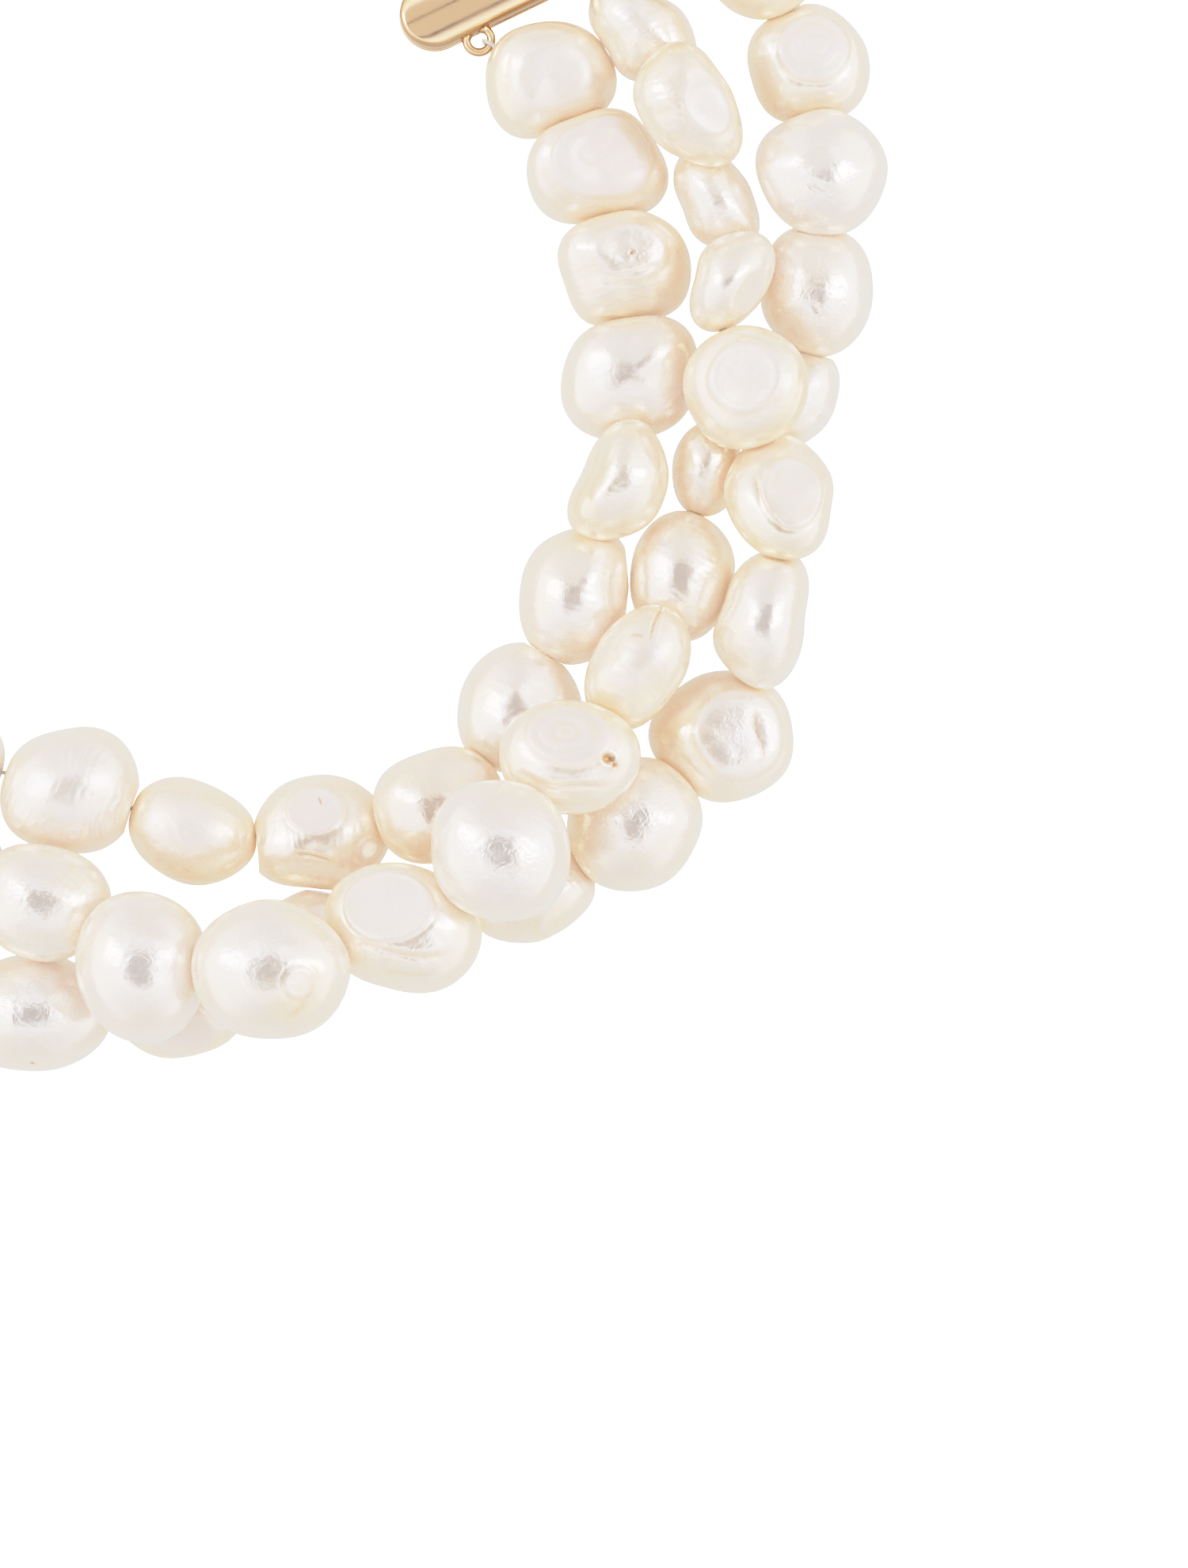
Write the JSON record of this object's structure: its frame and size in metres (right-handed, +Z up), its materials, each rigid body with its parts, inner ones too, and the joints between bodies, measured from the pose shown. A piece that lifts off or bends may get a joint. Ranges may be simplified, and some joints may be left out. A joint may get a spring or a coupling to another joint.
{
  "type": "pearl necklace",
  "caption": "Graduated rows of large irregular pearls strung on silk side by side, joined by a bar-shaped slide-in box clasp with wire rings.",
  "frame": {"origin": "middle of the clasp's flat underside, on the plane the necklace lies on", "axes": "+Z up from the table; the clasp's length lies in the table plane, turned about 26 degrees from +X towards +Y; the rows leave its box rings towards -Y and come round the loop's -X side back to its tongue rings"},
  "size_m": [0.1822, 0.1678, 0.023],
  "materials": {
    "nacre": "lustrous cream nacre, smooth with fine growth ridges",
    "silk": "twisted white silk",
    "gold": "polished, pale champagne gold plate",
    "spring_strip": "polished spring strip, gold plated"
  },
  "bodies": {
    "clasp_box": {"clasp_base": "gold", "clasp_cover": "gold", "box_rings": "gold"},
    "clasp_tongue": {"tongue_plate": "gold", "tongue_spring": "spring_strip", "tongue_rings": "gold"},
    "catch": {"catch_leaf": "spring_strip", "thumb_tab": "gold"},
    "inner_b1": {"inner_b1_pearls": "nacre", "inner_b1_thread": "silk"},
    "inner_b2": {"inner_b2_pearls": "nacre", "inner_b2_thread": "silk"},
    "inner_b3": {"inner_b3_pearls": "nacre", "inner_b3_thread": "silk"},
    "inner_b4": {"inner_b4_pearls": "nacre", "inner_b4_thread": "silk"},
    "inner_t4": {"inner_t4_pearls": "nacre", "inner_t4_thread": "silk"},
    "inner_t3": {"inner_t3_pearls": "nacre", "inner_t3_thread": "silk"},
    "inner_t2": {"inner_t2_pearls": "nacre", "inner_t2_thread": "silk"},
    "inner_t1": {"inner_t1_pearls": "nacre", "inner_t1_thread": "silk"},
    "middle_b1": {"middle_b1_pearls": "nacre", "middle_b1_thread": "silk"},
    "middle_b2": {"middle_b2_pearls": "nacre", "middle_b2_thread": "silk"},
    "middle_b3": {"middle_b3_pearls": "nacre", "middle_b3_thread": "silk"},
    "middle_b4": {"middle_b4_pearls": "nacre", "middle_b4_thread": "silk"},
    "middle_t4": {"middle_t4_pearls": "nacre", "middle_t4_thread": "silk"},
    "middle_t3": {"middle_t3_pearls": "nacre", "middle_t3_thread": "silk"},
    "middle_t2": {"middle_t2_pearls": "nacre", "middle_t2_thread": "silk"},
    "middle_t1": {"middle_t1_pearls": "nacre", "middle_t1_thread": "silk"},
    "outer_b1": {"outer_b1_pearls": "nacre", "outer_b1_thread": "silk"},
    "outer_b2": {"outer_b2_pearls": "nacre", "outer_b2_thread": "silk"},
    "outer_b3": {"outer_b3_pearls": "nacre", "outer_b3_thread": "silk"},
    "outer_b4": {"outer_b4_pearls": "nacre", "outer_b4_thread": "silk"},
    "outer_t4": {"outer_t4_pearls": "nacre", "outer_t4_thread": "silk"},
    "outer_t3": {"outer_t3_pearls": "nacre", "outer_t3_thread": "silk"},
    "outer_t2": {"outer_t2_pearls": "nacre", "outer_t2_thread": "silk"},
    "outer_t1": {"outer_t1_pearls": "nacre", "outer_t1_thread": "silk"}
  },
  "joints": [
    {"name": "clasp_slide", "type": "slide", "parent": "clasp_box", "child": "clasp_tongue", "axis": [-0.4353, 0.9003, 0], "range_m": [0, 0.006]},
    {"name": "catch_press", "type": "hinge", "parent": "clasp_tongue", "child": "catch", "pos_m": [0.00087, -0.0018, 0.0012], "axis": [0.9003, 0.4353, 0], "range_deg": [-6, 0]},
    {"name": "inner_b1_swing", "type": "hinge", "parent": "clasp_box", "child": "inner_b1", "pos_m": [-0.01055, -0.00943, 0.0019], "axis": [0, 0, 1], "range_deg": [-0.3, 0]},
    {"name": "inner_b2_bend", "type": "hinge", "parent": "inner_b1", "child": "inner_b2", "pos_m": [-0.06426, -0.07448, 0.00468], "axis": [0, 0, 1], "range_deg": [-6.12, 0]},
    {"name": "inner_b3_bend", "type": "hinge", "parent": "inner_b2", "child": "inner_b3", "pos_m": [-0.08624, -0.066, 0.00437], "axis": [0, 0, 1], "range_deg": [0, 6.21]},
    {"name": "inner_t1_swing", "type": "hinge", "parent": "clasp_tongue", "child": "inner_t1", "pos_m": [-0.01394, -0.00241, 0.0019], "axis": [0, 0, 1], "range_deg": [-5.66, 0]},
    {"name": "inner_t2_bend", "type": "hinge", "parent": "inner_t1", "child": "inner_t2", "pos_m": [-0.02688, 0.0166, 0.00477], "axis": [0, 0, 1], "range_deg": [0, 7.48]},
    {"name": "inner_t3_bend", "type": "hinge", "parent": "inner_t2", "child": "inner_t3", "pos_m": [-0.05916, 0.02874, 0.00453], "axis": [0, 0, 1], "range_deg": [0, 0.88]},
    {"name": "inner_lift", "type": "hinge", "parent": "inner_b3", "child": "inner_b4", "pos_m": [-0.10523, -0.0523, 0.00444], "axis": [0.9869, -0.1615, 0], "range_deg": [0, 8]},
    {"name": "inner_lift_far", "type": "hinge", "parent": "inner_t3", "child": "inner_t4", "pos_m": [-0.09312, 0.02173, 0.00493], "axis": [-0.9869, 0.1615, 0], "range_deg": [0, 8.1]},
    {"name": "middle_b1_swing", "type": "hinge", "parent": "clasp_box", "child": "middle_b1", "pos_m": [0.0017, -0.00351, 0.0019], "axis": [0, 0, 1], "range_deg": [-0.3, 0]},
    {"name": "middle_b2_bend", "type": "hinge", "parent": "middle_b1", "child": "middle_b2", "pos_m": [-0.06444, -0.0852, 0.00442], "axis": [0, 0, 1], "range_deg": [-4.33, 0]},
    {"name": "middle_b3_bend", "type": "hinge", "parent": "middle_b2", "child": "middle_b3", "pos_m": [-0.09464, -0.07752, 0.00424], "axis": [0, 0, 1], "range_deg": [0, 4.46]},
    {"name": "middle_t1_swing", "type": "hinge", "parent": "clasp_tongue", "child": "middle_t1", "pos_m": [-0.0017, 0.00351, 0.0019], "axis": [0, 0, 1], "range_deg": [-3.55, 0]},
    {"name": "middle_t2_bend", "type": "hinge", "parent": "middle_t1", "child": "middle_t2", "pos_m": [-0.02167, 0.02998, 0.00409], "axis": [0, 0, 1], "range_deg": [0, 5.13]},
    {"name": "middle_t3_bend", "type": "hinge", "parent": "middle_t2", "child": "middle_t3", "pos_m": [-0.05315, 0.042, 0.0043], "axis": [0, 0, 1], "range_deg": [0, 0.52]},
    {"name": "middle_lift", "type": "hinge", "parent": "middle_b3", "child": "middle_b4", "pos_m": [-0.11995, -0.05704, 0.00418], "axis": [0.9672, -0.2538, 0], "range_deg": [0, 8]},
    {"name": "middle_lift_far", "type": "hinge", "parent": "middle_t3", "child": "middle_t4", "pos_m": [-0.0954, 0.03651, 0.00412], "axis": [-0.9672, 0.2538, 0], "range_deg": [0, 7.7]},
    {"name": "outer_b1_swing", "type": "hinge", "parent": "clasp_box", "child": "outer_b1", "pos_m": [0.01394, 0.00241, 0.0019], "axis": [0, 0, 1], "range_deg": [-0.3, 0]},
    {"name": "outer_b2_bend", "type": "hinge", "parent": "outer_b1", "child": "outer_b2", "pos_m": [-0.05806, -0.09897, 0.00496], "axis": [0, 0, 1], "range_deg": [-2.98, 0]},
    {"name": "outer_b3_bend", "type": "hinge", "parent": "outer_b2", "child": "outer_b3", "pos_m": [-0.10121, -0.09061, 0.00426], "axis": [0, 0, 1], "range_deg": [0, 3.23]},
    {"name": "outer_t1_swing", "type": "hinge", "parent": "clasp_tongue", "child": "outer_t1", "pos_m": [0.01055, 0.00943, 0.0019], "axis": [0, 0, 1], "range_deg": [-2.41, 0]},
    {"name": "outer_t2_bend", "type": "hinge", "parent": "outer_t1", "child": "outer_t2", "pos_m": [-0.01551, 0.04325, 0.00398], "axis": [0, 0, 1], "range_deg": [0, 3.86]},
    {"name": "outer_t3_bend", "type": "hinge", "parent": "outer_t2", "child": "outer_t3", "pos_m": [-0.05733, 0.05652, 0.00426], "axis": [0, 0, 1], "range_deg": [0, 0.21]},
    {"name": "outer_lift", "type": "hinge", "parent": "outer_b3", "child": "outer_b4", "pos_m": [-0.13493, -0.06177, 0.00498], "axis": [0.9541, -0.2996, 0], "range_deg": [0, 7]},
    {"name": "outer_lift_far", "type": "hinge", "parent": "outer_t3", "child": "outer_t4", "pos_m": [-0.10007, 0.04924, 0.00441], "axis": [-0.9541, 0.2996, 0], "range_deg": [0, 7]}
  ],
  "couplings": [
    {"joint": "inner_b1_swing", "follows": "clasp_slide", "rad_per_m": -0.87267},
    {"joint": "inner_b2_bend", "follows": "clasp_slide", "rad_per_m": -17.785},
    {"joint": "inner_b3_bend", "follows": "clasp_slide", "rad_per_m": 18.061},
    {"joint": "inner_t1_swing", "follows": "clasp_slide", "rad_per_m": -16.438},
    {"joint": "inner_t2_bend", "follows": "clasp_slide", "rad_per_m": 21.732},
    {"joint": "inner_t3_bend", "follows": "clasp_slide", "rad_per_m": 2.5511},
    {"joint": "inner_lift_far", "follows": "inner_lift", "ratio": 1.0022},
    {"joint": "middle_b1_swing", "follows": "clasp_slide", "rad_per_m": -0.87267},
    {"joint": "middle_b2_bend", "follows": "clasp_slide", "rad_per_m": -12.593},
    {"joint": "middle_b3_bend", "follows": "clasp_slide", "rad_per_m": 12.947},
    {"joint": "middle_t1_swing", "follows": "clasp_slide", "rad_per_m": -10.321},
    {"joint": "middle_t2_bend", "follows": "clasp_slide", "rad_per_m": 14.917},
    {"joint": "middle_t3_bend", "follows": "clasp_slide", "rad_per_m": 1.4952},
    {"joint": "middle_lift_far", "follows": "middle_lift", "ratio": 0.9576},
    {"joint": "outer_b1_swing", "follows": "clasp_slide", "rad_per_m": -0.87267},
    {"joint": "outer_b2_bend", "follows": "clasp_slide", "rad_per_m": -8.6627},
    {"joint": "outer_b3_bend", "follows": "clasp_slide", "rad_per_m": 9.3724},
    {"joint": "outer_t1_swing", "follows": "clasp_slide", "rad_per_m": -6.99},
    {"joint": "outer_t2_bend", "follows": "clasp_slide", "rad_per_m": 11.228},
    {"joint": "outer_t3_bend", "follows": "clasp_slide", "rad_per_m": 0.5905},
    {"joint": "outer_lift_far", "follows": "outer_lift", "ratio": 0.99981}
  ]
}
